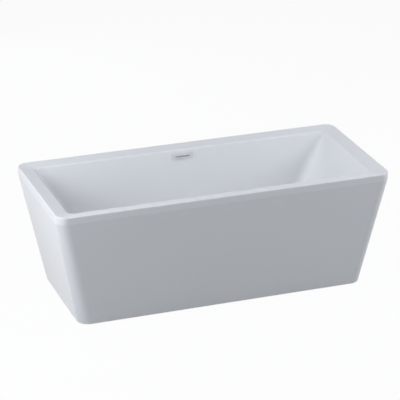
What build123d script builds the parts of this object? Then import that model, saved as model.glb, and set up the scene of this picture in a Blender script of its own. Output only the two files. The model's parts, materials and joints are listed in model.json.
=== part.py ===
from build123d import *

import os
from math import atan, cos, hypot, radians, sin, tan

# Freestanding bath: a moulded basin with a dished rim, bonded into a raked outer skirt.
# A board under the basin floor carries a welded steel frame on four levelling feet.
# A slotted overflow in the rear wall drains into a press-to-open waste in the floor.
# Millimetres and degrees. The origin is on the room floor under the middle of the bath,
# +X runs along its length, +Y towards the overflow and +Z up.

# Rim and lip
LENGTH = 1700.0
WIDTH = 750.0
HEIGHT = 600.0
RIM_CORNER_RADIUS = 55.0
RIM_WIDTH = 70.0
RIM_FALL = 11.5
LIP_HEIGHT = 40.0
LIP_EDGE_RADIUS = 6.0
OPENING_EDGE_RADIUS = 8.0

# Basin
BASIN_WALL = 7.0
FLOOR_HEIGHT = 155.0
END_SLOPE = 28.5
SIDE_SLOPE = 7.5
OPENING_CORNER_RADIUS = 30.0
FLOOR_BLEND_RADIUS = 42.0
FLOOR_CORNER_MARGIN = 13.0

# Skirt and the seam under the lip
END_RAKE = 112.5
SIDE_RAKE = 63.0
BASE_CORNER_RADIUS = 60.0
SKIRT_WALL = 6.0
SKIRT_FLOOR_GAP = 3.0
SKIRT_SETBACK = 0.5
SKIRT_EDGE_RADIUS = 3.0
SHELF_THICKNESS = 6.0
UPSTAND_WALL = 5.0
UPSTAND_HEIGHT = 28.0
SEAM_HEIGHT = 1.5
SEAM_RECESS = 0.5
BOND_CLEARANCE = 0.2

# Base board and battens
BOARD_THICKNESS = 18.0
BOARD_EDGE_MARGIN = 14.0
BOARD_CORNER_RADIUS = 25.0
BOARD_HOLE_MARGIN = 12.0
BATTEN_THICKNESS = 18.0
BATTEN_HEIGHT = 75.0
BATTEN_RISE = 15.0
BATTEN_OVERHANG = 50.0
END_BATTEN_LENGTH = 400.0

# Steel frame
TUBE_SIZE = 30.0
TUBE_WALL = 2.0
TUBE_CORNER_RADIUS = 3.5
RAIL_EDGE_MARGIN = 33.0
TIE_SPACING = 340.0
FOOT_END_MARGIN = 250.0
FOOT_SIDE_MARGIN = 150.0
CROSS_BAR_OVERHANG = 40.0
BRACKET_WIDTH = 34.0
BRACKET_THICKNESS = 3.0
BRACKET_DROP = 45.0
BRACKET_SEAT = 24.0

# Screws
SCREW_DIAMETER = 5.0
SCREW_HEAD_DIAMETER = 10.0
SCREW_HEAD_HEIGHT = 3.0
SCREW_BITE = 13.0
SCREW_CLEARANCE = 0.2
FRAME_SCREW_END_MARGIN = 110.0
FRAME_SCREWS_PER_RAIL = 4

# Levelling feet
STUD_DIAMETER = 12.0
STUD_TOP_MARGIN = 12.0
COLLAR_FLATS = 19.0
COLLAR_HEIGHT = 8.0
PAD_DIAMETER = 52.0
PAD_NECK_DIAMETER = 28.0
PAD_RIM_HEIGHT = 5.0
PAD_HEIGHT = 14.0
PAD_SOCKET_DEPTH = 9.0
NUT_FLATS = 19.0
NUT_HEIGHT = 10.0
RUNNING_CLEARANCE = 0.05
END_CLEARANCE = 0.3

# Overflow
OVERFLOW_DROP = 35.0
COVER_LENGTH = 114.0
COVER_HEIGHT = 33.0
COVER_THICKNESS = 2.5
COVER_CORNER_RADIUS = 3.0
SCREW_EDGE_MARGIN = 1.0
PANEL_BORDER = 6.0
PANEL_RAISE = 1.5
SLOT_LENGTH = 76.0
SLOT_HEIGHT = 8.0
SPIGOT_MARGIN = 2.0
SPIGOT_WALL = 2.5
SPIGOT_REACH = 6.0
CUTOUT_CORNER_RADIUS = 6.0
OVERFLOW_GASKET = 2.0
OVERFLOW_FLANGE = 4.0
OVERFLOW_FLANGE_MARGIN = 14.0
CHAMBER_WALL = 3.0
CHAMBER_DEPTH = 44.0
OUTLET_SETBACK = 23.0
FIT_CLEARANCE = 0.2

# Overflow pipe and its slip nuts
PIPE_DIAMETER = 32.0
PIPE_WALL = 2.4
PIPE_BEND_RADIUS = 60.0
PIPE_DEPTH = 75.0
SOCKET_WALL = 4.0
SOCKET_DEPTH = 28.0
SLIP_NUT_WALL = 4.0
SLIP_NUT_LENGTH = 18.0
SLIP_NUT_LIP = 6.0
SLIP_NUT_RIBS = 10
SLIP_NUT_RIB = 2.0
PIPE_RELIEF = 4.0

# Waste in the floor
DRAIN_FLANGE_DIAMETER = 70.0
DRAIN_FLANGE_THICKNESS = 2.5
DRAIN_UPPER_GASKET = 1.0
DRAIN_LOWER_GASKET = 3.0
DRAIN_RECESS_MARGIN = 1.0
WASTE_DIAMETER = 47.8
WASTE_WALL = 3.0
WASTE_LENGTH = 50.0
WASTE_HOLE_CLEARANCE = 1.1
BOSS_MARGIN = 12.0
BACK_NUT_FLATS = 62.0
BACK_NUT_HEIGHT = 10.0
TEE_WALL = 5.0
TEE_GAP = 2.0
TEE_FLOOR = 3.0
TAIL_DIAMETER = 40.0
TAIL_WALL = 3.0
TAIL_LENGTH = 22.0
TAIL_NECK_STEP = 0.6
TAIL_NECK_LENGTH = 7.0
TAIL_FLANGE = 3.0
TAIL_WASHER = 1.5
TAIL_SPIGOT_LENGTH = 16.0

# Stopper
CAP_DIAMETER = 64.0
CAP_EDGE = 2.5
CAP_CROWN = 3.5
SEAL_DIAMETER = 56.0
SEAL_WIDTH = 7.0
SEAL_THICKNESS = 2.5
STEM_DIAMETER = 6.0
STEM_TAIL = 6.0
STOPPER_LIFT = 9.0
CARTRIDGE_DIAMETER = 16.0
CARTRIDGE_WALL = 2.0
CARTRIDGE_SHOULDER = 2.5
CARTRIDGE_DEPTH = 10.0
HUB_DROP = 20.0
HUB_HEIGHT = 7.0
HUB_WALL = 4.0
SPIDER_ARMS = 3
SPIDER_ARM_WIDTH = 4.0
STEM_COLLAR = 2.0
SPRING_LENGTH = 9.0
SPRING_WIRE = 1.2
SPRING_TURNS = 3

# Levels worked out from the sizes above
OPENING_LEVEL = HEIGHT - RIM_FALL
LIP_BOTTOM = HEIGHT - LIP_HEIGHT
SKIRT_TOP = LIP_BOTTOM - SEAM_HEIGHT
BOARD_TOP = FLOOR_HEIGHT - BASIN_WALL
FRAME_TOP = BOARD_TOP - BOARD_THICKNESS
FRAME_BOTTOM = FRAME_TOP - TUBE_SIZE
PIPE_LEVEL = FLOOR_HEIGHT - PIPE_DEPTH

# Places worked out from the sizes above
OPENING_LENGTH = LENGTH - 2 * RIM_WIDTH
OPENING_WIDTH = WIDTH - 2 * RIM_WIDTH
BASIN_DEPTH = OPENING_LEVEL - FLOOR_HEIGHT
FLOOR_LENGTH = OPENING_LENGTH - 2 * BASIN_DEPTH * tan(radians(END_SLOPE))
FLOOR_WIDTH = OPENING_WIDTH - 2 * BASIN_DEPTH * tan(radians(SIDE_SLOPE))
FLOOR_CORNER_RADIUS = FLOOR_BLEND_RADIUS + FLOOR_CORNER_MARGIN
SKIRT_HEIGHT = SKIRT_TOP - SKIRT_FLOOR_GAP
SIDE_LEAN = atan(SIDE_RAKE / SKIRT_HEIGHT)
END_LEAN = atan(END_RAKE / SKIRT_HEIGHT)
END_BLEND = FLOOR_BLEND_RADIUS * tan(radians(90 - END_SLOPE) / 2)
SIDE_BLEND = FLOOR_BLEND_RADIUS * tan(radians(90 - SIDE_SLOPE) / 2)
BOARD_LENGTH = FLOOR_LENGTH - 2 * (END_BLEND + BOARD_EDGE_MARGIN)
BOARD_WIDTH = FLOOR_WIDTH - 2 * (SIDE_BLEND + BOARD_EDGE_MARGIN)
FOOT_X = LENGTH / 2 - FOOT_END_MARGIN
FOOT_Y = WIDTH / 2 - FOOT_SIDE_MARGIN
RAIL_Y = BOARD_WIDTH / 2 - RAIL_EDGE_MARGIN
CROSS_BAR_END = FOOT_Y + CROSS_BAR_OVERHANG
LONG_BATTEN_LENGTH = 2 * (FOOT_X + BATTEN_OVERHANG)
FRAME_SCREW_SPACING = (BOARD_LENGTH - 2 * FRAME_SCREW_END_MARGIN) / (FRAME_SCREWS_PER_RAIL - 1)
FLOOR_RECESS = DRAIN_FLANGE_THICKNESS + DRAIN_UPPER_GASKET
RECESS_RADIUS = DRAIN_FLANGE_DIAMETER / 2 + DRAIN_RECESS_MARGIN
BOSS_RADIUS = RECESS_RADIUS + BOSS_MARGIN
CORNERS = {"front_left": (-1, -1), "front_right": (1, -1), "rear_left": (-1, 1), "rear_right": (1, 1)}

STANDING = (Align.CENTER, Align.CENTER, Align.MIN)
LEVEL_TOLERANCE = 0.05


def outline(length, width, corner, level):
    """A level rounded rectangle."""
    return Pos(0, 0, level) * RectangleRounded(length, width, corner)


def prism(length, width, corner, bottom, top):
    """An upright rounded block."""
    return extrude(outline(length, width, corner, bottom), top - bottom)


def raked(lower, upper):
    """A block with straight leaning sides between two level outlines."""
    return loft([lower, upper], ruled=True)


def drum(radius, bottom, top, x=0.0, y=0.0):
    """An upright cylinder between two levels."""
    return Pos(x, y, bottom) * Cylinder(radius, top - bottom, align=STANDING)


def ring(outer, inner, bottom, top):
    """An upright washer or tube on the waste's axis."""
    return drum(outer, bottom, top) - drum(inner, bottom, top)


def hex_nut(flats, bore_radius, bottom, top, x=0.0, y=0.0):
    """A six-sided nut standing on a level."""
    profile = RegularPolygon(flats / 2, 6, major_radius=False) - Circle(bore_radius)
    return extrude(Pos(x, y, bottom) * profile, top - bottom)


def edges_at(piece, level):
    """The edges of a piece that lie on a level."""
    return piece.edges().filter_by_position(Axis.Z, level - LEVEL_TOLERANCE, level + LEVEL_TOLERANCE)


def four_corners(piece):
    """Copies of a piece at all four corners of the frame."""
    pair = [piece, mirror(piece, Plane.YZ)]
    return pair + [mirror(item, Plane.XZ) for item in pair]


def group(pieces):
    """Separate solids that share one node."""
    return Compound([solid for piece in pieces for solid in piece.solids()])


def leaning_plane(x, y, level, lean):
    """A plane on a rear wall that leans outwards going up: X along the bath, Y up the wall, Z inwards."""
    return Plane((x, y, level), x_dir=(1, 0, 0), z_dir=(0, -cos(lean), sin(lean)))


def screw(bite_length):
    """A pan-head screw: the head's seat on Z = 0, the shank running down."""
    head = Cylinder(SCREW_HEAD_DIAMETER / 2, SCREW_HEAD_HEIGHT, align=STANDING)
    head = fillet(head.edges().group_by(Axis.Z)[-1], SCREW_HEAD_HEIGHT / 2)
    shank = Pos(0, 0, -bite_length) * Cylinder(SCREW_DIAMETER / 2, bite_length, align=STANDING)
    return head + shank


def screw_hole(bite_length):
    """The hole that such a screw goes into, a little longer than the shank."""
    radius = SCREW_DIAMETER / 2 + SCREW_CLEARANCE
    depth = bite_length + SCREW_CLEARANCE
    return Pos(0, 0, -depth) * Cylinder(radius, depth, align=STANDING)


# Basin and skirt


def basin_form(inset, level):
    """The basin's tapered well, grown by a wall thickness and cut off at a floor level."""
    end_slope, side_slope = radians(END_SLOPE), radians(SIDE_SLOPE)
    length = OPENING_LENGTH + 2 * inset / cos(end_slope)
    width = OPENING_WIDTH + 2 * inset / cos(side_slope)
    depth = OPENING_LEVEL - level
    floor = outline(
        length - 2 * depth * tan(end_slope),
        width - 2 * depth * tan(side_slope),
        FLOOR_CORNER_RADIUS + inset,
        level,
    )
    well = raked(floor, outline(length, width, OPENING_CORNER_RADIUS + inset, OPENING_LEVEL))
    return fillet(well.edges().group_by(Axis.Z)[0], FLOOR_BLEND_RADIUS + inset)


def lip_block(inset, bottom, top):
    """An upright block inside the lip's outer face."""
    return prism(LENGTH - 2 * inset, WIDTH - 2 * inset, RIM_CORNER_RADIUS - inset, bottom, top)


def rim_dish(inset, drop):
    """The shallow dish above the rim, lowered by a drop and cut short of the lip by an inset."""
    opening = outline(OPENING_LENGTH, OPENING_WIDTH, OPENING_CORNER_RADIUS, OPENING_LEVEL - drop)
    edge_level = HEIGHT - drop - inset * RIM_FALL / RIM_WIDTH
    edge = outline(LENGTH - 2 * inset, WIDTH - 2 * inset, RIM_CORNER_RADIUS - inset, edge_level)
    return raked(opening, edge), edge_level


def overflow_plane():
    """The plane of the rear wall's inner face, at the middle of the overflow."""
    y = OPENING_WIDTH / 2 - OVERFLOW_DROP * tan(radians(SIDE_SLOPE))
    return leaning_plane(0, y, OPENING_LEVEL - OVERFLOW_DROP, radians(SIDE_SLOPE))


def wall_block(length, height, corner, front, back):
    """A rounded block on the overflow's plane, from a front depth back into the wall."""
    return overflow_plane() * Pos(0, 0, -back) * extrude(RectangleRounded(length, height, corner), back - front)


SPIGOT_LENGTH = SLOT_LENGTH + 2 * (SPIGOT_MARGIN + SPIGOT_WALL)
SPIGOT_HEIGHT = SLOT_HEIGHT + 2 * (SPIGOT_MARGIN + SPIGOT_WALL)
CUTOUT_LENGTH = SPIGOT_LENGTH + 2 * FIT_CLEARANCE
CUTOUT_HEIGHT = SPIGOT_HEIGHT + 2 * FIT_CLEARANCE
OVERFLOW_SCREW_X = (CUTOUT_LENGTH / 2 + COVER_LENGTH / 2) / 2
OVERFLOW_SCREW_HEAD = (COVER_LENGTH - CUTOUT_LENGTH) / 4 - SCREW_EDGE_MARGIN
OVERFLOW_SCREW_RADIUS = OVERFLOW_SCREW_HEAD / 2
GASKET_BACK = BASIN_WALL + OVERFLOW_GASKET
FLANGE_BACK = GASKET_BACK + OVERFLOW_FLANGE


def overflow_screw(growth):
    """One countersunk screw through the wall, its head flush under the cover."""
    head_depth = OVERFLOW_SCREW_HEAD - OVERFLOW_SCREW_RADIUS
    head = Cone(
        OVERFLOW_SCREW_RADIUS + growth,
        OVERFLOW_SCREW_HEAD + growth,
        head_depth,
        align=(Align.CENTER, Align.CENTER, Align.MAX),
    )
    length = FLANGE_BACK + growth
    return head + Pos(0, 0, -length) * Cylinder(OVERFLOW_SCREW_RADIUS + growth, length, align=STANDING)


def overflow_screw_pair(growth):
    """The two screws, or with growth their holes, on the overflow's plane."""
    return [overflow_plane() * Pos(side * OVERFLOW_SCREW_X, 0, 0) * overflow_screw(growth) for side in (-1, 1)]


def basin_shell():
    """The moulded inner bath: lip, dished rim, walls, blended floor, waste recess and overflow cut-out."""
    slope = RIM_FALL / RIM_WIDTH
    rim_drop = BASIN_WALL * hypot(1, slope)
    under_dish, under_level = rim_dish(BASIN_WALL, rim_drop)
    hollow = lip_block(BASIN_WALL, LIP_BOTTOM, under_level) - under_dish
    dish, _ = rim_dish(0, 0)
    boss = drum(BOSS_RADIUS, BOARD_TOP - FLOOR_RECESS, FLOOR_HEIGHT)
    body = basin_form(BASIN_WALL, BOARD_TOP)
    body -= wall_block(CUTOUT_LENGTH, CUTOUT_HEIGHT, CUTOUT_CORNER_RADIUS, -BASIN_WALL, 2 * BASIN_WALL)
    for hole in overflow_screw_pair(SCREW_CLEARANCE):
        body -= hole
    shell = lip_block(0, LIP_BOTTOM, HEIGHT) - hollow + body + boss
    shell = shell - basin_form(0, FLOOR_HEIGHT) - dish
    shell = fillet(edges_at(shell, OPENING_LEVEL), OPENING_EDGE_RADIUS)
    shell = fillet(edges_at(shell, HEIGHT), LIP_EDGE_RADIUS)
    shell -= drum(RECESS_RADIUS, FLOOR_HEIGHT - FLOOR_RECESS, FLOOR_HEIGHT + FLOOR_RECESS)
    return shell - drum(WASTE_DIAMETER / 2 + WASTE_HOLE_CLEARANCE, 0, FLOOR_HEIGHT)


def skirt_form(inset, bottom, top):
    """The raked block inside the skirt's face, between two levels."""
    sections = []
    for level in (bottom, top):
        share = (SKIRT_TOP - level) / SKIRT_HEIGHT
        length = LENGTH - 2 * (SKIRT_SETBACK + END_RAKE * share + inset / cos(END_LEAN))
        width = WIDTH - 2 * (SKIRT_SETBACK + SIDE_RAKE * share + inset / cos(SIDE_LEAN))
        corner = RIM_CORNER_RADIUS + (BASE_CORNER_RADIUS - RIM_CORNER_RADIUS) * share - inset
        sections.append(outline(length, width, corner, level))
    return raked(*sections)


def outer_skirt():
    """The raked casing, with a shelf at its top and an upstand that fits inside the lip."""
    upstand_inset = BASIN_WALL + BOND_CLEARANCE
    well_inset = upstand_inset + UPSTAND_WALL
    shelf_bottom = SKIRT_TOP - SHELF_THICKNESS
    upstand_top = SKIRT_TOP + UPSTAND_HEIGHT
    skirt = skirt_form(0, SKIRT_FLOOR_GAP, SKIRT_TOP)
    skirt = fillet(edges_at(skirt, SKIRT_FLOOR_GAP), SKIRT_EDGE_RADIUS)
    skirt -= skirt_form(SKIRT_WALL, SKIRT_FLOOR_GAP, shelf_bottom)
    skirt += lip_block(upstand_inset, SKIRT_TOP, upstand_top)
    return skirt - lip_block(well_inset, shelf_bottom, upstand_top)


def seam_bead():
    """The bead of sealant that fills the seam between the lip and the shelf."""
    bead = lip_block(SEAM_RECESS, SKIRT_TOP, LIP_BOTTOM)
    return bead - lip_block(BASIN_WALL, SKIRT_TOP, LIP_BOTTOM)


# Board, battens and frame


def frame_screw_places():
    """Where the frame's screws go up into the board, along both rails."""
    row = GridLocations(FRAME_SCREW_SPACING, 2 * RAIL_Y, FRAME_SCREWS_PER_RAIL, 2)
    return [(place.position.X, place.position.Y) for place in row]


FRAME_SCREW_LENGTH = TUBE_SIZE + SCREW_BITE


def at_frame_screws(piece):
    """Copies of a piece at each frame screw, pointing up from under the rails."""
    return [Pos(x, y, FRAME_BOTTOM) * Rot(180, 0, 0) * piece for x, y in frame_screw_places()]


def base_board():
    """The board bonded to the basin's flat floor, open round the waste."""
    board = prism(BOARD_LENGTH, BOARD_WIDTH, BOARD_CORNER_RADIUS, FRAME_TOP, BOARD_TOP)
    board -= drum(BOSS_RADIUS + BOARD_HOLE_MARGIN, FRAME_TOP, BOARD_TOP)
    for hole in at_frame_screws(screw_hole(FRAME_SCREW_LENGTH)):
        board -= hole
    return board


def tube_along_x(start, end, y):
    """A square frame tube along the bath, with rounded corners and open ends."""
    profile = RectangleRounded(TUBE_SIZE, TUBE_SIZE, TUBE_CORNER_RADIUS)
    bore_size = TUBE_SIZE - 2 * TUBE_WALL
    profile -= RectangleRounded(bore_size, bore_size, TUBE_CORNER_RADIUS - TUBE_WALL)
    centre = FRAME_TOP - TUBE_SIZE / 2
    return Pos(start, y, centre) * Rot(0, 90, 0) * extrude(profile, end - start)


def tube_along_y(start, end, x):
    """The same tube across the bath."""
    return Pos(x, 0, 0) * Rot(0, 0, 90) * tube_along_x(start, end, 0)


def rail(side):
    """A long rail between the cross bars, drilled for the board's screws."""
    reach = FOOT_X - TUBE_SIZE / 2
    tube = tube_along_x(-reach, reach, side * RAIL_Y)
    for hole in at_frame_screws(screw_hole(FRAME_SCREW_LENGTH)):
        tube -= hole
    return tube


def cross_bar(side):
    """A cross bar under one end, drilled for its two studs and for the bracket screws."""
    bar = tube_along_y(-CROSS_BAR_END, CROSS_BAR_END, side * FOOT_X)
    hole = drum(STUD_DIAMETER / 2 + SCREW_CLEARANCE, FRAME_BOTTOM, FRAME_TOP, side * FOOT_X, FOOT_Y)
    for cut in (hole, mirror(hole, Plane.XZ), *bracket_bar_screws(screw_hole(SCREW_BITE))):
        bar -= cut
    return bar


def tie(side):
    """A short tie between the rails, beside the waste."""
    reach = RAIL_Y - TUBE_SIZE / 2
    return tube_along_y(-reach, reach, side * TIE_SPACING / 2)


def skirt_inside(half, rake, lean, level):
    """Half the clear size inside the skirt at a level, from half its outer size at the lip."""
    share = (SKIRT_TOP - level) / SKIRT_HEIGHT
    return half - SKIRT_SETBACK - rake * share - SKIRT_WALL / cos(lean)


BATTEN_TOP = FRAME_TOP + BATTEN_RISE
BATTEN_BOTTOM = BATTEN_TOP - BATTEN_HEIGHT


def batten(half, rake, lean, length):
    """A board bonded inside the skirt, with its face leaning the way the skirt does; it lies along X."""
    thickness = BATTEN_THICKNESS / cos(lean)
    low = skirt_inside(half, rake, lean, BATTEN_BOTTOM) - BOND_CLEARANCE
    high = skirt_inside(half, rake, lean, BATTEN_TOP) - BOND_CLEARANCE
    corners = [
        (low, BATTEN_BOTTOM),
        (high, BATTEN_TOP),
        (high - thickness, BATTEN_TOP),
        (low - thickness, BATTEN_BOTTOM),
    ]
    profile = Plane.YZ.offset(-length / 2) * make_face(Polyline(*corners, close=True))
    return extrude(profile, length)


def side_batten():
    """The batten along one long side of the skirt, with pilot holes for the bracket screws."""
    board = batten(WIDTH / 2, SIDE_RAKE, SIDE_LEAN, LONG_BATTEN_LENGTH)
    for hole in bracket_batten_screws(screw_hole(SCREW_BITE)):
        board -= hole
    return board


def rear_batten():
    """The rear batten, relieved where the overflow pipe runs down past it."""
    board = side_batten()
    return board - along_pipe(Circle(PIPE_DIAMETER / 2 + PIPE_RELIEF))


def right_batten():
    """The batten across the right end of the skirt."""
    return Rot(0, 0, -90) * batten(LENGTH / 2, END_RAKE, END_LEAN, END_BATTEN_LENGTH)


def batten_face(level):
    """How far the rear batten's inner face is from the middle of the bath, at a level."""
    inside = skirt_inside(WIDTH / 2, SIDE_RAKE, SIDE_LEAN, level)
    return inside - BOND_CLEARANCE - BATTEN_THICKNESS / cos(SIDE_LEAN)


def skirt_bracket():
    """The bent angle from the right cross bar's top to the rear batten's face."""
    leg = BRACKET_THICKNESS / cos(SIDE_LEAN)
    top = FRAME_TOP + BRACKET_THICKNESS
    bottom = top - BRACKET_DROP
    corners = [
        (CROSS_BAR_END - BRACKET_SEAT, FRAME_TOP),
        (CROSS_BAR_END - BRACKET_SEAT, top),
        (batten_face(top), top),
        (batten_face(bottom), bottom),
        (batten_face(bottom) - leg, bottom),
        (batten_face(FRAME_TOP) - leg, FRAME_TOP),
    ]
    profile = Plane.YZ.offset(FOOT_X - BRACKET_WIDTH / 2) * make_face(Polyline(*corners, close=True))
    bracket = extrude(profile, BRACKET_WIDTH)
    cuts = bracket_bar_screws(screw_hole(SCREW_BITE)) + bracket_batten_screws(screw_hole(SCREW_BITE))
    for cut in cuts:
        bracket -= cut
    return bracket


def bracket_bar_screws(piece):
    """Copies of a piece at the screws from the brackets down into the cross bars."""
    y = CROSS_BAR_END - BRACKET_SEAT / 2
    return four_corners(Pos(FOOT_X, y, FRAME_TOP + BRACKET_THICKNESS) * piece)


def bracket_batten_screws(piece):
    """Copies of a piece at the screws from the brackets out into the battens."""
    level = FRAME_TOP + BRACKET_THICKNESS - BRACKET_DROP / 2
    y = batten_face(level) - BRACKET_THICKNESS / cos(SIDE_LEAN)
    return four_corners(leaning_plane(FOOT_X, y, level, SIDE_LEAN) * piece)


# Levelling feet


def foot_pad():
    """A flared pad with a blind socket that the stud's end turns in."""
    radius, neck = PAD_DIAMETER / 2, PAD_NECK_DIAMETER / 2
    half = [(0, 0), (radius, 0), (radius, PAD_RIM_HEIGHT), (neck, PAD_HEIGHT), (0, PAD_HEIGHT)]
    pad = revolve(Plane.XZ * make_face(Polyline(*half, close=True)), Axis.Z)
    return pad - drum(STUD_DIAMETER / 2 + RUNNING_CLEARANCE, PAD_HEIGHT - PAD_SOCKET_DEPTH, PAD_HEIGHT)


def foot_stud():
    """The threaded stud with a spanner collar just above the pad."""
    bottom = PAD_HEIGHT - PAD_SOCKET_DEPTH + END_CLEARANCE
    top = FRAME_TOP + NUT_HEIGHT + STUD_TOP_MARGIN
    collar_bottom = PAD_HEIGHT + END_CLEARANCE
    collar = hex_nut(COLLAR_FLATS, STUD_DIAMETER / 4, collar_bottom, collar_bottom + COLLAR_HEIGHT)
    return drum(STUD_DIAMETER / 2, bottom, top) + collar


def foot_nuts(bottom):
    """A nut on each stud, with its lower face on a level."""
    bore = STUD_DIAMETER / 2 + RUNNING_CLEARANCE
    return group(four_corners(hex_nut(NUT_FLATS, bore, bottom, bottom + NUT_HEIGHT, FOOT_X, FOOT_Y)))


# Overflow


def overflow_cover():
    """The slotted plate with a raised panel, and the spigot behind it that carries the water through."""
    panel_length = COVER_LENGTH - 2 * PANEL_BORDER
    panel_height = COVER_HEIGHT - 2 * PANEL_BORDER
    face = COVER_THICKNESS + PANEL_RAISE
    reach = FLANGE_BACK + SPIGOT_REACH
    cover = wall_block(COVER_LENGTH, COVER_HEIGHT, COVER_CORNER_RADIUS, -COVER_THICKNESS, 0)
    cover += wall_block(panel_length, panel_height, COVER_CORNER_RADIUS, -face, 0)
    cover += wall_block(SPIGOT_LENGTH, SPIGOT_HEIGHT, CUTOUT_CORNER_RADIUS - FIT_CLEARANCE, 0, reach)
    bore_length = SPIGOT_LENGTH - 2 * SPIGOT_WALL
    bore_height = SPIGOT_HEIGHT - 2 * SPIGOT_WALL
    cover -= wall_block(bore_length, bore_height, COVER_CORNER_RADIUS / 2, 0, reach)
    return cover - wall_block(SLOT_LENGTH, SLOT_HEIGHT, COVER_CORNER_RADIUS, -face, 0)


def overflow_gasket():
    """The flat seal between the back of the wall and the overflow body."""
    margin = OVERFLOW_FLANGE_MARGIN
    length, height = CUTOUT_LENGTH + 2 * margin, CUTOUT_HEIGHT + 2 * margin
    gasket = wall_block(length, height, COVER_CORNER_RADIUS, BASIN_WALL, GASKET_BACK)
    gasket -= wall_block(CUTOUT_LENGTH, CUTOUT_HEIGHT, CUTOUT_CORNER_RADIUS, BASIN_WALL, GASKET_BACK)
    for hole in overflow_screw_pair(SCREW_CLEARANCE):
        gasket -= hole
    return gasket


CHAMBER_LENGTH = CUTOUT_LENGTH + 2 * CHAMBER_WALL
CHAMBER_HEIGHT = CUTOUT_HEIGHT + 2 * CHAMBER_WALL
CHAMBER_BACK = FLANGE_BACK + CHAMBER_DEPTH
OUTLET_BACK = FLANGE_BACK + OUTLET_SETBACK
SOCKET_BORE = PIPE_DIAMETER / 2 + FIT_CLEARANCE
SOCKET_RADIUS = SOCKET_BORE + SOCKET_WALL
SOCKET_TOP = -CHAMBER_HEIGHT / 2
SOCKET_STOP = SOCKET_TOP - SOCKET_WALL
SOCKET_MOUTH = SOCKET_STOP - SOCKET_DEPTH


def down_the_wall(radius, top, bottom):
    """A cylinder behind the wall on the outlet's axis, between two heights from the overflow's middle."""
    upright = Rot(90, 0, 0) * Cylinder(radius, top - bottom, align=STANDING)
    return overflow_plane() * Pos(0, top, -OUTLET_BACK) * upright


def overflow_body():
    """The box behind the wall that turns the water down into the pipe."""
    margin = 2 * OVERFLOW_FLANGE_MARGIN
    flange_length, flange_height = CUTOUT_LENGTH + margin, CUTOUT_HEIGHT + margin
    body = wall_block(flange_length, flange_height, COVER_CORNER_RADIUS, GASKET_BACK, FLANGE_BACK)
    body += wall_block(CHAMBER_LENGTH, CHAMBER_HEIGHT, COVER_CORNER_RADIUS, GASKET_BACK, CHAMBER_BACK)
    body += down_the_wall(SOCKET_RADIUS, SOCKET_TOP + CHAMBER_WALL, SOCKET_MOUTH)
    hollow_back = CHAMBER_BACK - CHAMBER_WALL
    body -= wall_block(CUTOUT_LENGTH, CUTOUT_HEIGHT, COVER_CORNER_RADIUS, GASKET_BACK, hollow_back)
    body -= down_the_wall(SOCKET_BORE, SOCKET_STOP, SOCKET_MOUTH)
    body -= down_the_wall(PIPE_DIAMETER / 2 - PIPE_WALL, 0, SOCKET_STOP)
    for hole in overflow_screw_pair(SCREW_CLEARANCE):
        body -= hole
    return body


def slip_nut():
    """A ribbed slip nut along +Z: a wide bore over a socket's end, then a lip that fits the pipe."""
    socket_bore = SOCKET_RADIUS + FIT_CLEARANCE
    outer = socket_bore + SLIP_NUT_WALL
    nut = Cylinder(outer, SLIP_NUT_LENGTH, align=STANDING)
    rib = Box(2 * SLIP_NUT_RIB, 2 * SLIP_NUT_RIB, SLIP_NUT_LENGTH, align=STANDING)
    nut += [location * rib for location in PolarLocations(outer, SLIP_NUT_RIBS)]
    nut -= Cylinder(socket_bore, SLIP_NUT_LENGTH - SLIP_NUT_LIP, align=STANDING)
    return nut - Cylinder(SOCKET_BORE, SLIP_NUT_LENGTH, align=STANDING)


NUT_GRIP = SLIP_NUT_LENGTH - SLIP_NUT_LIP


def overflow_upper_nut():
    """The slip nut on the overflow body's socket."""
    start = SOCKET_MOUTH + NUT_GRIP
    return overflow_plane() * Pos(0, start, -OUTLET_BACK) * Rot(90, 0, 0) * slip_nut()


TEE_BORE = WASTE_DIAMETER / 2 + FIT_CLEARANCE
TEE_RADIUS = TEE_BORE + TEE_WALL
INLET_STOP = TEE_RADIUS + SOCKET_WALL
INLET_MOUTH = INLET_STOP + SOCKET_DEPTH


def overflow_lower_nut():
    """The slip nut on the tee's side inlet."""
    return Pos(0, INLET_MOUTH - NUT_GRIP, PIPE_LEVEL) * Rot(-90, 0, 0) * slip_nut()


def along_pipe(profile):
    """A profile swept down behind the rear wall, round one bend and across to the tee."""
    slope = radians(SIDE_SLOPE)
    start = overflow_plane().from_local_coords(Vector(0, SOCKET_STOP - FIT_CLEARANCE, -OUTLET_BACK))
    turn_y = start.Y - (start.Z - PIPE_LEVEL) * tan(slope)
    route = [(0, start.Y, start.Z), (0, turn_y, PIPE_LEVEL), (0, INLET_STOP + FIT_CLEARANCE, PIPE_LEVEL)]
    path = FilletPolyline(*route, radius=PIPE_BEND_RADIUS)
    return sweep(Plane(start, z_dir=path % 0) * profile, path=path)


def overflow_pipe():
    """The pipe from the overflow body down to the tee."""
    return along_pipe(Circle(PIPE_DIAMETER / 2) - Circle(PIPE_DIAMETER / 2 - PIPE_WALL))


# Waste in the floor

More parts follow.
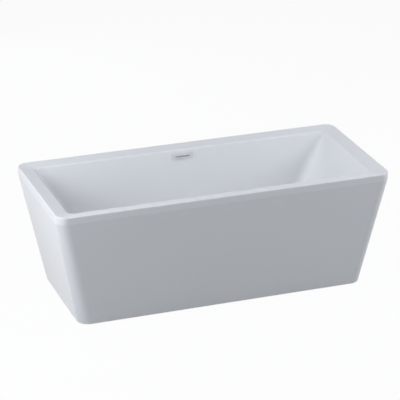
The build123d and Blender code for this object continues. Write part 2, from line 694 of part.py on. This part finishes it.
FLANGE_BOTTOM = FLOOR_HEIGHT - DRAIN_FLANGE_THICKNESS
WASTE_BOTTOM = FLANGE_BOTTOM - WASTE_LENGTH
BOSS_BOTTOM = BOARD_TOP - FLOOR_RECESS
LOWER_GASKET_BOTTOM = BOSS_BOTTOM - DRAIN_LOWER_GASKET
BACK_NUT_BOTTOM = LOWER_GASKET_BOTTOM - BACK_NUT_HEIGHT
TEE_TOP = BACK_NUT_BOTTOM - TEE_GAP
TEE_BOTTOM = PIPE_LEVEL - SOCKET_RADIUS - TEE_FLOOR
WASTE_BORE = WASTE_DIAMETER / 2 - WASTE_WALL
TAIL_RADIUS = TAIL_DIAMETER / 2
TAIL_BORE = TAIL_RADIUS - TAIL_WALL
TAIL_NECK = TAIL_RADIUS - TAIL_NECK_STEP
TAIL_SPIGOT_RADIUS = TAIL_RADIUS + TAIL_WALL
SPIGOT_BOTTOM = TEE_BOTTOM - TAIL_SPIGOT_LENGTH
WASHER_BOTTOM = SPIGOT_BOTTOM - TAIL_WASHER
TAIL_FLANGE_BOTTOM = WASHER_BOTTOM - TAIL_FLANGE
TAIL_SHOULDER = TAIL_FLANGE_BOTTOM - TAIL_NECK_LENGTH
TAIL_END = TAIL_SHOULDER - TAIL_LENGTH
HUB_TOP = FLANGE_BOTTOM - HUB_DROP
HUB_BOTTOM = HUB_TOP - HUB_HEIGHT
HUB_BORE = CARTRIDGE_DIAMETER / 2 + FIT_CLEARANCE


def drain_flange():
    """The flanged waste body, with a spider in its throat that holds the stopper's cartridge."""
    flange = drum(DRAIN_FLANGE_DIAMETER / 2, FLANGE_BOTTOM, FLOOR_HEIGHT)
    flange = fillet(flange.edges().group_by(Axis.Z)[-1], DRAIN_FLANGE_THICKNESS / 2)
    flange += drum(WASTE_DIAMETER / 2, WASTE_BOTTOM, FLANGE_BOTTOM)
    flange -= drum(WASTE_BORE, WASTE_BOTTOM, FLOOR_HEIGHT)
    reach = WASTE_BORE + WASTE_WALL / 2
    arm = Box(reach, SPIDER_ARM_WIDTH, HUB_HEIGHT, align=(Align.MIN, Align.CENTER, Align.MIN))
    flange += [Pos(0, 0, HUB_BOTTOM) * location * arm for location in PolarLocations(0, SPIDER_ARMS)]
    flange += drum(HUB_BORE + HUB_WALL, HUB_BOTTOM, HUB_TOP)
    return flange - drum(HUB_BORE, HUB_BOTTOM, HUB_TOP)


def drain_tee():
    """The body under the floor that takes the waste and the overflow's side inlet."""
    inlet_turn = Rot(-90, 0, 0)
    tee = drum(TEE_RADIUS, TEE_BOTTOM, TEE_TOP)
    tee += drum(TAIL_SPIGOT_RADIUS, SPIGOT_BOTTOM, TEE_BOTTOM)
    tee += Pos(0, 0, PIPE_LEVEL) * inlet_turn * Cylinder(SOCKET_RADIUS, INLET_MOUTH, align=STANDING)
    tee -= drum(TEE_BORE, WASTE_BOTTOM - FIT_CLEARANCE, TEE_TOP)
    tee -= drum(WASTE_BORE, TEE_BOTTOM + TEE_FLOOR, TEE_TOP)
    tee -= drum(TAIL_BORE, SPIGOT_BOTTOM, TEE_TOP)
    socket = Cylinder(SOCKET_BORE, SOCKET_DEPTH, align=STANDING)
    tee -= Pos(0, INLET_STOP, PIPE_LEVEL) * inlet_turn * socket
    bore = Cylinder(PIPE_DIAMETER / 2 - PIPE_WALL, INLET_STOP, align=STANDING)
    return tee - Pos(0, 0, PIPE_LEVEL) * inlet_turn * bore


def tail_piece():
    """The flanged outlet pipe, with a full-size end that the room's waste pipe slides over."""
    tail = drum(TAIL_SPIGOT_RADIUS, TAIL_FLANGE_BOTTOM, WASHER_BOTTOM)
    tail += drum(TAIL_NECK, TAIL_SHOULDER, TAIL_FLANGE_BOTTOM)
    tail += drum(TAIL_RADIUS, TAIL_END, TAIL_SHOULDER)
    return tail - drum(TAIL_BORE, TAIL_END, WASHER_BOTTOM)


def tail_nut():
    """The nut that pulls the outlet's flange up against the tee."""
    bore = TAIL_SPIGOT_RADIUS + FIT_CLEARANCE
    lip_bottom = TAIL_SHOULDER + END_CLEARANCE
    lip_top = TAIL_FLANGE_BOTTOM - FIT_CLEARANCE
    outer = bore + SLIP_NUT_WALL
    nut_top = SPIGOT_BOTTOM + TAIL_SPIGOT_LENGTH / 2
    nut = drum(outer, lip_bottom, nut_top)
    rib = Box(2 * SLIP_NUT_RIB, 2 * SLIP_NUT_RIB, nut_top - lip_bottom, align=STANDING)
    nut += [Pos(0, 0, lip_bottom) * location * rib for location in PolarLocations(outer, SLIP_NUT_RIBS)]
    nut -= drum(bore, lip_top, nut_top)
    return nut - drum(TAIL_NECK + FIT_CLEARANCE, lip_bottom, lip_top)


# Stopper

SEAL_BOTTOM = FLOOR_HEIGHT + FIT_CLEARANCE
CAP_BOTTOM = SEAL_BOTTOM + SEAL_THICKNESS
CARTRIDGE_BOTTOM = HUB_TOP - CARTRIDGE_DEPTH
SPRING_SEAT = CARTRIDGE_BOTTOM + CARTRIDGE_WALL
COLLAR_BOTTOM = SPRING_SEAT + SPRING_LENGTH
COLLAR_TOP = COLLAR_BOTTOM + STEM_COLLAR
CARTRIDGE_ROOF = COLLAR_TOP + STOPPER_LIFT + END_CLEARANCE
CARTRIDGE_BORE = CARTRIDGE_DIAMETER / 2 - CARTRIDGE_WALL
STEM_BORE = STEM_DIAMETER / 2 + RUNNING_CLEARANCE


def stopper_cap():
    """The domed cap over the waste."""
    radius = CAP_DIAMETER / 2
    edge_top = CAP_BOTTOM + CAP_EDGE
    crown = edge_top + CAP_CROWN
    sphere = (radius**2 + CAP_CROWN**2) / (2 * CAP_CROWN)
    straight = Polyline((0, crown), (0, CAP_BOTTOM), (radius, CAP_BOTTOM), (radius, edge_top))
    dome = RadiusArc((radius, edge_top), (0, crown), -sphere)
    return revolve(Plane.XZ * make_face(straight + dome), Axis.Z)


def stopper_stem():
    """The rod under the cap, with the collar that the spring pushes up."""
    stem = drum(STEM_DIAMETER / 2, CARTRIDGE_BOTTOM - STEM_TAIL, CAP_BOTTOM)
    return stem + drum(CARTRIDGE_BORE - END_CLEARANCE, COLLAR_BOTTOM, COLLAR_TOP)


def stopper_cartridge():
    """The sleeve that guides the stem and holds its spring, seated on the spider's hub."""
    shoulder = HUB_BORE + HUB_WALL / 2
    sleeve = drum(CARTRIDGE_DIAMETER / 2, CARTRIDGE_BOTTOM, CARTRIDGE_ROOF + CARTRIDGE_WALL)
    sleeve += drum(shoulder, HUB_TOP, HUB_TOP + CARTRIDGE_SHOULDER)
    sleeve -= drum(CARTRIDGE_BORE, SPRING_SEAT, CARTRIDGE_ROOF)
    return sleeve - drum(STEM_BORE, CARTRIDGE_BOTTOM, CARTRIDGE_ROOF + CARTRIDGE_WALL)


def stopper_spring():
    """The coil between the cartridge's seat and the stem's collar."""
    radius = (STEM_BORE + CARTRIDGE_BORE) / 2
    height = SPRING_LENGTH - SPRING_WIRE
    path = Pos(0, 0, SPRING_SEAT + SPRING_WIRE / 2) * Helix(height / SPRING_TURNS, height, radius)
    return sweep(Plane(path @ 0, z_dir=path % 0) * Circle(SPRING_WIRE / 2), path=path)


def nodes():
    """Every piece by its name."""
    pieces = {
        "basin_shell": basin_shell(),
        "outer_skirt": outer_skirt(),
        "seam_bead": seam_bead(),
        "base_board": base_board(),
        "frame_screws": group(at_frame_screws(screw(FRAME_SCREW_LENGTH))),
        "front_batten": mirror(side_batten(), Plane.XZ),
        "rear_batten": rear_batten(),
        "left_batten": mirror(right_batten(), Plane.YZ),
        "right_batten": right_batten(),
        "front_rail": rail(-1),
        "rear_rail": rail(1),
        "left_cross_bar": cross_bar(-1),
        "right_cross_bar": cross_bar(1),
        "left_tie": tie(-1),
        "right_tie": tie(1),
        "skirt_brackets": group(four_corners(skirt_bracket())),
        "bracket_screws": group(
            bracket_bar_screws(screw(SCREW_BITE)) + bracket_batten_screws(screw(SCREW_BITE))
        ),
        "foot_lock_nuts": foot_nuts(FRAME_BOTTOM - NUT_HEIGHT),
        "foot_weld_nuts": foot_nuts(FRAME_TOP),
        "overflow_cover": overflow_cover(),
        "overflow_gasket": overflow_gasket(),
        "overflow_body": overflow_body(),
        "overflow_screws": group(overflow_screw_pair(0)),
        "overflow_pipe": overflow_pipe(),
        "overflow_upper_nut": overflow_upper_nut(),
        "overflow_lower_nut": overflow_lower_nut(),
        "drain_flange": drain_flange(),
        "drain_upper_gasket": ring(
            RECESS_RADIUS - DRAIN_RECESS_MARGIN,
            WASTE_DIAMETER / 2 + WASTE_HOLE_CLEARANCE,
            FLOOR_HEIGHT - FLOOR_RECESS,
            FLANGE_BOTTOM,
        ),
        "drain_lower_gasket": ring(
            BACK_NUT_FLATS / 2,
            WASTE_DIAMETER / 2 + FIT_CLEARANCE,
            LOWER_GASKET_BOTTOM,
            BOSS_BOTTOM,
        ),
        "drain_back_nut": hex_nut(
            BACK_NUT_FLATS, WASTE_DIAMETER / 2 + FIT_CLEARANCE, BACK_NUT_BOTTOM, LOWER_GASKET_BOTTOM
        ),
        "drain_tee": drain_tee(),
        "tail_washer": ring(TAIL_SPIGOT_RADIUS, TAIL_BORE, WASHER_BOTTOM, SPIGOT_BOTTOM),
        "tail_piece": tail_piece(),
        "tail_nut": tail_nut(),
        "stopper_cap": stopper_cap(),
        "stopper_seal": ring(SEAL_DIAMETER / 2, SEAL_DIAMETER / 2 - SEAL_WIDTH, SEAL_BOTTOM, CAP_BOTTOM),
        "stopper_stem": stopper_stem(),
        "stopper_cartridge": stopper_cartridge(),
        "stopper_spring": stopper_spring(),
    }
    for corner, (along, across) in CORNERS.items():
        place = Pos(along * FOOT_X, across * FOOT_Y, 0)
        pieces[f"foot_pad_{corner}"] = place * foot_pad()
        pieces[f"foot_stud_{corner}"] = place * foot_stud()
    return pieces


def main():
    os.makedirs("parts", exist_ok=True)
    for name, piece in nodes().items():
        export_step(piece, f"parts/{name}.step")


if __name__ == "__main__":
    main()
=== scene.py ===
import json
from math import cos, pi, radians, sin

import bmesh
import bpy
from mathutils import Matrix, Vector


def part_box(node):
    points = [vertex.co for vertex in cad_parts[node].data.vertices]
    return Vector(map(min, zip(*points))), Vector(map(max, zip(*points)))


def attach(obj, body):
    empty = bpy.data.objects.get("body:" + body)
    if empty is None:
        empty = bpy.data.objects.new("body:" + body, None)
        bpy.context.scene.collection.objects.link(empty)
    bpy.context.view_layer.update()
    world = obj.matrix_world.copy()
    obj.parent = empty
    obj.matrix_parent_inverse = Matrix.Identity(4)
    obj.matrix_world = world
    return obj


# A white freestanding bath in a plain pale studio.
# Metres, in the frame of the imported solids: +X along the bath, +Y towards the overflow, +Z up.

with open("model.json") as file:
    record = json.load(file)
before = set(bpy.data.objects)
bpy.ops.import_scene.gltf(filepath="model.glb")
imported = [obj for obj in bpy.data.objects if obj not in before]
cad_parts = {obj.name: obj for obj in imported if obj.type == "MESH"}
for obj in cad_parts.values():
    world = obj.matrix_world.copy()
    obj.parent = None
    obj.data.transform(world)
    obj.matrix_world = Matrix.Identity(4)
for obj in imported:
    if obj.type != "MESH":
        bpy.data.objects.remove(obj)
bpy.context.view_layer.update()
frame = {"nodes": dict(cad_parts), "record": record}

# The view of the photograph
VIEW_TARGET = Vector((-0.0129, 0.0, 0.4325))
VIEW_AZIMUTH = radians(-19.853)
VIEW_ELEVATION = radians(22.588)
VIEW_DISTANCE = 10.227
LENS_MM = 185.8
SENSOR_MM = 36.0

# The floor and the world around it
FLOOR_SIZE = 60.0
FLOOR_ROUGHNESS = 0.9
FLOOR_COLOUR = (0.86, 0.87, 0.88, 1.0)
FLOOR_BOUNCE = (0.30, 0.303, 0.306, 1.0)
SHADOW_SHARE = 0.05
WHITE = (1.0, 1.0, 1.0, 1.0)
HORIZON_LOW = 0.10
HORIZON_HIGH = 0.26
OVERHEAD_SHARE = 0.2
WORLD_COLOUR = (0.93, 0.96, 1.0, 1.0)
WORLD_STRENGTH = 0.03

# The lamps, each with its azimuth and elevation in degrees and its power in watts
LAMP_COLOUR = (0.968, 1.0, 1.066)
LAMP_AIM = Vector((0.0, 0.0, 0.35))
LAMP_DISTANCE = 4.0
SIDE_LAMP_SIZE = 1.6
SIDE_LAMPS = {
    "left_lamp": (270, 30, 28),
    "left_front_lamp": (285, 35, 57),
    "front_left_lamp": (300, 15, 23),
    "front_lamp": (20, 10, 27),
    "right_lamp": (75, 30, 38),
    "right_high_lamp": (90, 45, 36),
    "rear_lamp": (188, 18, 30),
}
TOP_LAMP_SIZE = 0.8
TOP_LAMP = (0, 80, 4)

# Where the acrylic shows its backing: on faces that slant this far to the hidden side, below the lip
BACKING_SLANT = (0.01, 0.05)
BACKING_TOP = (0.545, 0.555)

# The lips along the edges of the overflow's slot, measured from its middle in the slope of the wall
WALL_SLOPE = radians(7.5)
COVER_STANDOFF = 0.0053
LIP_LENGTH = 0.0764
LIP_DEPTH = 0.0024
LIP_FACE = 0.0034
LIP_ROOT = 0.0043
LIP_EDGE = 0.0013
LIP_STEPS = 12


class Finish:
    """A material under construction, with short calls for the nodes that the finishes share."""

    def __init__(self, name, **surface):
        self.material = bpy.data.materials.new(name)
        self.material.use_nodes = True
        self.tree = self.material.node_tree
        self.surface = self.tree.nodes["Principled BSDF"]
        for socket, value in surface.items():
            self.surface.inputs[socket.replace("_", " ")].default_value = value
        coordinates = self.add("ShaderNodeTexCoord")
        self.place = coordinates.outputs["Object"]
        self.facing = coordinates.outputs["Normal"]

    def add(self, kind, inputs=None, **settings):
        """A node with its settings, and with each input linked or set."""
        node = self.tree.nodes.new(kind)
        for name, value in settings.items():
            setattr(node, name, value)
        for name, value in (inputs or {}).items():
            self.put(node.inputs[name], value)
        return node

    def put(self, socket, value):
        """Links an output to a socket, or sets a plain value on it."""
        if isinstance(value, bpy.types.NodeSocket):
            self.tree.links.new(value, socket)
        else:
            socket.default_value = value

    def noise(self, per_metre, detail=3.0, stretch=None):
        """Smooth noise over the object, with a number of features to the metre."""
        place = self.place
        if stretch:
            place = self.add("ShaderNodeMapping", {"Vector": place, "Scale": stretch}).outputs["Vector"]
        inputs = {"Vector": place, "Scale": per_metre, "Detail": detail}
        return self.add("ShaderNodeTexNoise", inputs).outputs["Fac"]

    def cells(self, per_metre, output):
        """A pattern of cells over the object, with a number of cells to the metre."""
        return self.add("ShaderNodeTexVoronoi", {"Vector": self.place, "Scale": per_metre}).outputs[output]

    def ramp(self, factor, *stops):
        """Colours along a factor, as (position, colour) stops."""
        node = self.add("ShaderNodeValToRGB", {"Fac": factor})
        band = node.color_ramp.elements
        while len(band) < len(stops):
            band.new(1.0)
        for element, (position, colour) in zip(band, stops):
            element.position = position
            element.color = (*colour, 1.0)
        return node.outputs["Color"]

    def span(self, factor, low, high, start=0.0, end=1.0):
        """A factor between start and end, carried over to a range."""
        inputs = {"Value": factor, "From Min": start, "From Max": end, "To Min": low, "To Max": high}
        return self.add("ShaderNodeMapRange", inputs).outputs["Result"]

    def mix(self, factor, first, second):
        """Two colours mixed by a factor."""
        node = self.add("ShaderNodeMix", data_type="RGBA")
        sockets = {socket.identifier: socket for socket in (*node.inputs, *node.outputs)}
        self.put(sockets["Factor_Float"], factor)
        self.put(sockets["A_Color"], first)
        self.put(sockets["B_Color"], second)
        return sockets["Result_Color"]

    def combine(self, operation, first, second):
        """One step of arithmetic between two factors."""
        node = self.add("ShaderNodeMath", operation=operation)
        self.put(node.inputs[0], first)
        self.put(node.inputs[1], second)
        return node.outputs["Value"]

    def colour(self, output):
        """The colour of the surface."""
        self.put(self.surface.inputs["Base Color"], output)

    def rough(self, output):
        """The roughness of the surface."""
        self.put(self.surface.inputs["Roughness"], output)

    def bump(self, height, depth):
        """Relief on the surface, with a depth in metres."""
        node = self.add("ShaderNodeBump", {"Height": height, "Distance": depth})
        self.put(self.surface.inputs["Normal"], node.outputs["Normal"])


def grey(level, blue=0.0):
    """A grey, with a little more blue than red."""
    return (level - blue, level, level + blue)


def acrylic(name, back_faces_up):
    """Gloss white acrylic on the side that shows, and glass-fibre backing on the hidden side."""
    finish = Finish(name, Specular_IOR_Level=0.15)
    slant = finish.add("ShaderNodeSeparateXYZ", {"Vector": finish.facing}).outputs["Z"]
    height = finish.add("ShaderNodeSeparateXYZ", {"Vector": finish.place}).outputs["Z"]
    turn = 1.0 if back_faces_up else -1.0
    start, end = (limit * turn for limit in BACKING_SLANT)
    hidden = finish.span(slant, 0.0, 1.0, start, end)
    below_lip = finish.span(height, 1.0, 0.0, *BACKING_TOP)
    back = finish.combine("MULTIPLY", hidden, below_lip)

    cloud = finish.noise(per_metre=2.5)
    gloss = finish.ramp(cloud, (0.3, (0.912, 0.920, 0.924)), (0.7, (0.922, 0.930, 0.934)))
    lengthways = finish.noise(per_metre=60, detail=6.0, stretch=(1.0, 9.0, 3.0))
    crossways = finish.noise(per_metre=60, detail=6.0, stretch=(9.0, 1.0, 5.0))
    strands = finish.combine("MAXIMUM", lengthways, crossways)
    resin = finish.ramp(
        strands,
        (0.35, (0.52, 0.53, 0.47)),
        (0.6, (0.66, 0.67, 0.62)),
        (0.75, (0.76, 0.77, 0.74)),
    )
    finish.colour(finish.mix(back, gloss, resin))

    polish = finish.span(finish.noise(per_metre=7.0), 0.20, 0.26)
    dullness = finish.span(back, 0.0, 0.35)
    finish.rough(finish.combine("ADD", polish, dullness))
    ripple = finish.noise(per_metre=45, detail=1.0)
    peel = finish.combine("MULTIPLY", ripple, finish.span(back, 0.012, 0.0))
    matting = finish.combine("MULTIPLY", strands, back)
    finish.bump(finish.combine("ADD", peel, matting), depth=0.0012)
    return finish.material


def sealant():
    """Satin white silicone, smoothed by hand."""
    finish = Finish("sealant", Specular_IOR_Level=0.35)
    wave = finish.noise(per_metre=14, detail=2.0)
    finish.colour(finish.ramp(wave, (0.3, grey(0.83, 0.02)), (0.7, grey(0.86, 0.02))))
    finish.rough(finish.span(wave, 0.38, 0.5))
    finish.bump(wave, depth=0.0006)
    return finish.material


def cover_plastic():
    """Pale neutral satin plastic with a fine moulded grain, which lets a little light through."""
    finish = Finish(
        "cover_plastic",
        Subsurface_Weight=0.5,
        Subsurface_Radius=(1.0, 0.97, 0.94),
        Subsurface_Scale=0.008,
    )
    grain = finish.noise(per_metre=900, detail=2.0)
    cloud = finish.noise(per_metre=30, detail=2.0)
    finish.colour(finish.ramp(cloud, (0.3, (0.84, 0.845, 0.845)), (0.7, (0.855, 0.86, 0.86))))
    finish.rough(finish.span(grain, 0.26, 0.36))
    finish.bump(grain, depth=0.00006)
    return finish.material


def chipboard():
    """Raw chipboard: pressed flakes in several browns."""
    finish = Finish("chipboard", Specular_IOR_Level=0.2)
    flakes_per_metre = 260
    flakes = finish.cells(flakes_per_metre, "Color")
    tone = finish.add("ShaderNodeSeparateColor", {"Color": flakes}).outputs["Red"]
    wood = finish.ramp(
        tone,
        (0.0, (0.30, 0.20, 0.11)),
        (0.35, (0.47, 0.34, 0.20)),
        (0.7, (0.60, 0.46, 0.29)),
        (1.0, (0.71, 0.58, 0.40)),
    )
    dust = (0.42, 0.31, 0.19, 1.0)
    fibre = finish.noise(per_metre=1500, detail=3.0)
    finish.colour(finish.mix(finish.span(fibre, 0.0, 0.45), wood, dust))
    finish.rough(finish.span(fibre, 0.72, 0.9))
    relief = finish.combine("ADD", finish.cells(flakes_per_metre, "Distance"), fibre)
    finish.bump(relief, depth=0.0004)
    return finish.material


def powder_coat():
    """Dark grey powder coat with its fine orange peel."""
    finish = Finish("powder_coat")
    peel = finish.noise(per_metre=700, detail=2.0)
    dust = finish.noise(per_metre=9, detail=4.0)
    finish.colour(finish.ramp(dust, (0.3, grey(0.035, 0.002)), (0.75, grey(0.06, 0.003))))
    finish.rough(finish.span(dust, 0.38, 0.55))
    finish.bump(peel, depth=0.00012)
    return finish.material


def zinc():
    """Bright zinc plating with the faint tints of its passivation."""
    finish = Finish("zinc", Metallic=1.0)
    tints = finish.noise(per_metre=70, detail=4.0)
    plating = finish.ramp(
        tints,
        (0.3, (0.58, 0.61, 0.66)),
        (0.55, (0.70, 0.71, 0.71)),
        (0.75, (0.72, 0.69, 0.60)),
    )
    finish.colour(plating)
    scratches = finish.noise(per_metre=420, detail=3.0, stretch=(1.0, 1.0, 0.15))
    finish.rough(finish.span(scratches, 0.24, 0.42))
    finish.bump(scratches, depth=0.00004)
    return finish.material


def foot_plastic():
    """Black nylon with a coarse moulded grain."""
    finish = Finish("foot_plastic")
    grain = finish.noise(per_metre=1100, detail=2.0)
    scuffs = finish.noise(per_metre=60, detail=5.0)
    finish.colour(finish.ramp(scuffs, (0.4, grey(0.016)), (0.8, grey(0.04))))
    finish.rough(finish.span(grain, 0.5, 0.68))
    finish.bump(grain, depth=0.00015)
    return finish.material


def pipe_plastic():
    """White polypropylene, slightly waxy and mottled."""
    finish = Finish("pipe_plastic", Subsurface_Weight=0.05, Subsurface_Scale=0.004)
    mottle = finish.noise(per_metre=40, detail=4.0)
    grain = finish.noise(per_metre=500, detail=2.0)
    finish.colour(finish.ramp(mottle, (0.3, (0.83, 0.83, 0.81)), (0.7, (0.88, 0.88, 0.86))))
    finish.rough(finish.span(grain, 0.34, 0.46))
    finish.bump(mottle, depth=0.0003)
    return finish.material


def rubber():
    """Black rubber with a pale bloom."""
    finish = Finish("rubber", Specular_IOR_Level=0.3)
    bloom = finish.noise(per_metre=90, detail=5.0)
    grain = finish.noise(per_metre=1600, detail=1.0)
    finish.colour(finish.ramp(bloom, (0.4, grey(0.014)), (0.85, grey(0.05))))
    finish.rough(finish.span(bloom, 0.6, 0.8))
    finish.bump(grain, depth=0.00008)
    return finish.material


def chrome():
    """Polished chrome with faint wiping marks."""
    finish = Finish("chrome", Metallic=1.0)
    marks = finish.noise(per_metre=45, detail=5.0)
    finish.colour(finish.ramp(marks, (0.3, grey(0.74, 0.012)), (0.7, grey(0.80, 0.012))))
    finish.rough(finish.span(marks, 0.04, 0.11))
    return finish.material


def brass():
    """Machined brass with turning marks round its axis."""
    finish = Finish("brass", Metallic=1.0)
    turning = finish.noise(per_metre=300, detail=2.0, stretch=(0.05, 0.05, 12.0))
    finish.colour(finish.ramp(turning, (0.3, (0.58, 0.42, 0.17)), (0.7, (0.72, 0.56, 0.27))))
    finish.rough(finish.span(turning, 0.2, 0.34))
    finish.bump(turning, depth=0.00005)
    return finish.material


def dress_nodes():
    """Gives every solid the finish of its material slot, and each acrylic shell its own."""
    finishes = {
        "sealant": sealant(),
        "cover_plastic": cover_plastic(),
        "board": chipboard(),
        "frame_steel": powder_coat(),
        "zinc_steel": zinc(),
        "pad_plastic": foot_plastic(),
        "pipe_plastic": pipe_plastic(),
        "seal_rubber": rubber(),
        "chrome": chrome(),
        "brass": brass(),
    }
    shells = {
        "basin_shell": acrylic("basin_acrylic", back_faces_up=False),
        "outer_skirt": acrylic("skirt_acrylic", back_faces_up=True),
    }
    for part in frame["record"]["subparts"]:
        name = part["node"]
        mesh = frame["nodes"][name].data
        mesh.materials.clear()
        mesh.materials.append(shells.get(name) or finishes[part["material_slot"]])


def add_object(name, data):
    """An object in the scene that holds a mesh, a lamp or a camera."""
    thing = bpy.data.objects.new(name, data)
    bpy.context.scene.collection.objects.link(thing)
    return thing


def slot_lip(name, side):
    """A round-edged lip on one long edge of the overflow's slot, which narrows it to a fine line."""
    low, high = (Vector(corner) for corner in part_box("overflow_cover"))
    middle = (low + high) / 2
    middle.y = low.y + COVER_STANDOFF
    upward = Vector((0.0, sin(WALL_SLOPE), cos(WALL_SLOPE)))
    outward = Vector((0.0, -cos(WALL_SLOPE), sin(WALL_SLOPE)))
    radius = LIP_DEPTH / 2
    outline = [(-radius, LIP_ROOT), (radius, LIP_ROOT)]
    for step in range(LIP_STEPS + 1):
        turn = pi * step / LIP_STEPS
        outline.append((radius * cos(turn), LIP_EDGE + radius - radius * sin(turn)))

    form = bmesh.new()
    ends = []
    for end in (-LIP_LENGTH / 2, LIP_LENGTH / 2):
        start = middle + Vector((end, 0.0, 0.0)) + outward * (LIP_FACE - radius)
        points = [start + outward * across + upward * side * rise for across, rise in outline]
        ends.append([form.verts.new(point) for point in points])
    left, right = ends
    for index in range(len(outline)):
        form.faces.new((left[index - 1], left[index], right[index], right[index - 1]))
    form.faces.new(left)
    form.faces.new(right)
    bmesh.ops.recalc_face_normals(form, faces=form.faces)
    mesh = bpy.data.meshes.new(name)
    form.to_mesh(mesh)
    form.free()

    mesh.materials.append(bpy.data.materials["cover_plastic"])
    lip = add_object(name, mesh)
    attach(lip, "tub")


def seen_directly(tree):
    """One for a ray from the camera, a mirror or glass, and nought for light on the object."""
    path = tree.nodes.new("ShaderNodeLightPath")
    total = path.outputs["Is Camera Ray"]
    for ray in ("Is Glossy Ray", "Is Transmission Ray"):
        larger = tree.nodes.new("ShaderNodeMath")
        larger.operation = "MAXIMUM"
        tree.links.new(total, larger.inputs[0])
        tree.links.new(path.outputs[ray], larger.inputs[1])
        total = larger.outputs["Value"]
    return total


def floor_material():
    """White where it is seen, with a trace of shadow, and darker for the light that it throws back up."""
    material = bpy.data.materials.new("studio_floor")
    material.use_nodes = True
    tree = material.node_tree
    seen = seen_directly(tree)
    tone = tree.nodes.new("ShaderNodeValToRGB")
    tree.links.new(seen, tone.inputs["Fac"])
    tone.color_ramp.elements[0].color = FLOOR_BOUNCE
    tone.color_ramp.elements[1].color = FLOOR_COLOUR
    matt = tree.nodes["Principled BSDF"]
    tree.links.new(tone.outputs["Color"], matt.inputs["Base Color"])
    matt.inputs["Roughness"].default_value = FLOOR_ROUGHNESS
    glow = tree.nodes.new("ShaderNodeEmission")
    share = tree.nodes.new("ShaderNodeMath")
    share.operation = "MULTIPLY"
    tree.links.new(seen, share.inputs[0])
    share.inputs[1].default_value = 1.0 - SHADOW_SHARE
    blend = tree.nodes.new("ShaderNodeMixShader")
    tree.links.new(share.outputs["Value"], blend.inputs[0])
    tree.links.new(matt.outputs["BSDF"], blend.inputs[1])
    tree.links.new(glow.outputs["Emission"], blend.inputs[2])
    tree.links.new(blend.outputs["Shader"], tree.nodes["Material Output"].inputs["Surface"])
    return material


def studio_floor():
    """A plain pale floor under the bath."""
    mesh = bpy.data.meshes.new("studio_floor")
    grid = bmesh.new()
    bmesh.ops.create_grid(grid, x_segments=1, y_segments=1, size=FLOOR_SIZE / 2)
    grid.to_mesh(mesh)
    grid.free()
    mesh.materials.append(floor_material())
    add_object("studio_floor", mesh)


def studio_world():
    """White at the horizon and greyer overhead where it is seen, and a dim soft light on the bath."""
    world = bpy.data.worlds.new("studio")
    bpy.context.scene.world = world
    world.use_nodes = True
    tree = world.node_tree
    light = tree.nodes["Background"]
    light.inputs["Color"].default_value = WORLD_COLOUR
    light.inputs["Strength"].default_value = WORLD_STRENGTH
    direction = tree.nodes.new("ShaderNodeTexCoord").outputs["Generated"]
    split = tree.nodes.new("ShaderNodeSeparateXYZ")
    tree.links.new(direction, split.inputs["Vector"])
    fade = tree.nodes.new("ShaderNodeMapRange")
    tree.links.new(split.outputs["Z"], fade.inputs["Value"])
    fade.inputs["From Min"].default_value = HORIZON_LOW
    fade.inputs["From Max"].default_value = HORIZON_HIGH
    fade.inputs["To Min"].default_value = 1.0
    fade.inputs["To Max"].default_value = OVERHEAD_SHARE
    white = tree.nodes.new("ShaderNodeBackground")
    white.inputs["Color"].default_value = WHITE
    tree.links.new(fade.outputs["Result"], white.inputs["Strength"])
    blend = tree.nodes.new("ShaderNodeMixShader")
    tree.links.new(seen_directly(tree), blend.inputs[0])
    tree.links.new(light.outputs["Background"], blend.inputs[1])
    tree.links.new(white.outputs["Background"], blend.inputs[2])
    tree.links.new(blend.outputs["Shader"], tree.nodes["World Output"].inputs["Surface"])


def towards(azimuth, elevation):
    """A direction out from the bath: azimuth 0 is the front, and 90 degrees is the right."""
    return Vector((sin(azimuth) * cos(elevation), -cos(azimuth) * cos(elevation), sin(elevation)))


def softbox(name, azimuth, elevation, watts, size, mirrored):
    """A soft square lamp that faces the bath, and that glossy surfaces mirror or leave out."""
    lamp = bpy.data.lights.new(name, "AREA")
    lamp.shape = "SQUARE"
    lamp.size = size
    lamp.color = LAMP_COLOUR
    lamp.energy = watts
    direction = towards(radians(azimuth), radians(elevation))
    place = add_object(name, lamp)
    place.visible_glossy = mirrored
    place.location = LAMP_AIM + direction * LAMP_DISTANCE
    place.rotation_euler = direction.to_track_quat("Z", "Y").to_euler()


def studio_lamps():
    """Soft lamps all round, and a small one overhead that shows in the chrome."""
    for name, (azimuth, elevation, watts) in SIDE_LAMPS.items():
        softbox(name, azimuth, elevation, watts, SIDE_LAMP_SIZE, mirrored=False)
    softbox("top_lamp", *TOP_LAMP, TOP_LAMP_SIZE, mirrored=True)


def photo_camera():
    """The camera at the photograph's place."""
    lens = bpy.data.cameras.new("camera")
    lens.lens = LENS_MM
    lens.sensor_width = SENSOR_MM
    direction = towards(VIEW_AZIMUTH, VIEW_ELEVATION)
    camera = add_object("camera", lens)
    camera.location = VIEW_TARGET + direction * VIEW_DISTANCE
    camera.rotation_euler = direction.to_track_quat("Z", "Y").to_euler()
    bpy.context.scene.camera = camera


dress_nodes()
slot_lip("overflow_lower_lip", -1)
slot_lip("overflow_upper_lip", 1)
studio_floor()
studio_world()
studio_lamps()
photo_camera()

bpy.context.scene.view_settings.view_transform = "Standard"
